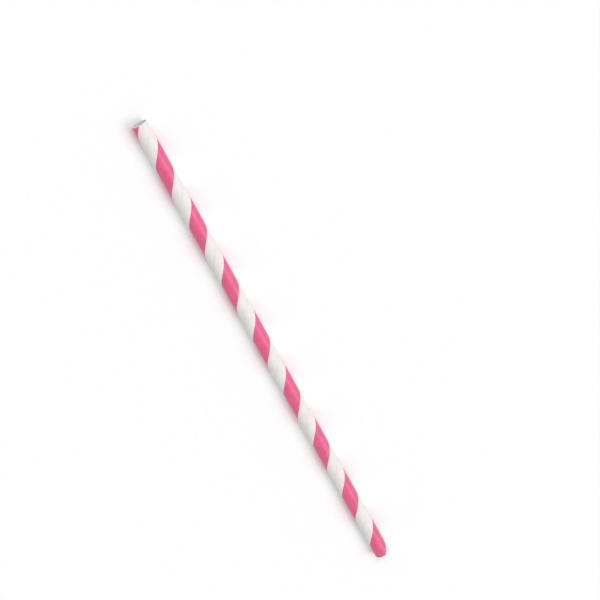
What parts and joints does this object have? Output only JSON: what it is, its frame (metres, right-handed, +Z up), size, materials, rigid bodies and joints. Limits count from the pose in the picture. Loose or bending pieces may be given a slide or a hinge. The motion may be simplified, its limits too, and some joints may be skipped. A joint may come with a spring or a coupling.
{
  "type": "paper drinking straw",
  "caption": "Slim round paper drinking straw, open at both square-cut ends, spirally wound with a pink printed stripe on white paper.",
  "frame": {"origin": "middle of the straw's length, on the surface that the straw lies on, below its axis", "axes": "+X along the straw's axis, +Z up from the surface, +Y across the straw"},
  "size_m": [0.197, 0.006, 0.006],
  "materials": {
    "printed_paper": "matte white kraft paper, spirally wound, with one pink stripe printed along the strip"
  },
  "bodies": {
    "root": {"straw_tube": "printed_paper"}
  },
  "joints": []
}
